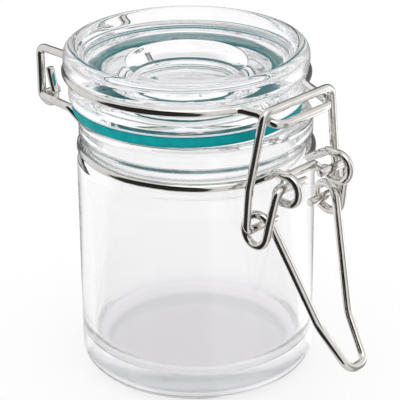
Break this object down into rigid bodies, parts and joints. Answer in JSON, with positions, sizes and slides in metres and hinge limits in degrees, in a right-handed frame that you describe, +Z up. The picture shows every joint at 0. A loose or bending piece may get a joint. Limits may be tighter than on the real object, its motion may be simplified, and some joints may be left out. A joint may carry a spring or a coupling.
{
  "type": "lidded glass canister",
  "caption": "Small clear glass jar with a dished glass lid, a teal rubber gasket and a bent-wire clip-top clasp and hinge.",
  "frame": {"origin": "middle of the flat face the jar rests on, on the axis of the glass body", "axes": "+Z up out of the mouth, -Y towards the clasp, +Y towards the lid's hinge, X across the clasp"},
  "size_m": [0.0512, 0.0846, 0.0706],
  "materials": {
    "jar_glass": "clear, moulded, smooth",
    "lid_glass": "clear, moulded, smooth",
    "gasket_rubber": "teal, satin",
    "wire": "polished round wire"
  },
  "bodies": {
    "jar": {"jar": "jar_glass", "neck_wire": "wire"},
    "lid": {"lid": "lid_glass", "gasket": "gasket_rubber", "lid_wire": "wire"},
    "lever": {"lever": "wire"},
    "bail": {"bail": "wire"}
  },
  "joints": [
    {"name": "lid_hinge", "type": "hinge", "parent": "jar", "child": "lid", "pos_m": [0, 0.0358, 0.0536], "axis": [-1, 0, 0], "range_deg": [0, 105]},
    {"name": "lever_pivot", "type": "hinge", "parent": "jar", "child": "lever", "pos_m": [0, -0.0321, 0.0508], "axis": [-1, 0, 0], "range_deg": [0, 120]},
    {"name": "bail_pivot", "type": "hinge", "parent": "lever", "child": "bail", "pos_m": [0, -0.0272, 0.0419], "axis": [-1, 0, 0], "range_deg": [-138.5, 0]}
  ],
  "couplings": [
    {"joint": "bail_pivot", "follows": "lever_pivot", "ratio": -1.15}
  ]
}
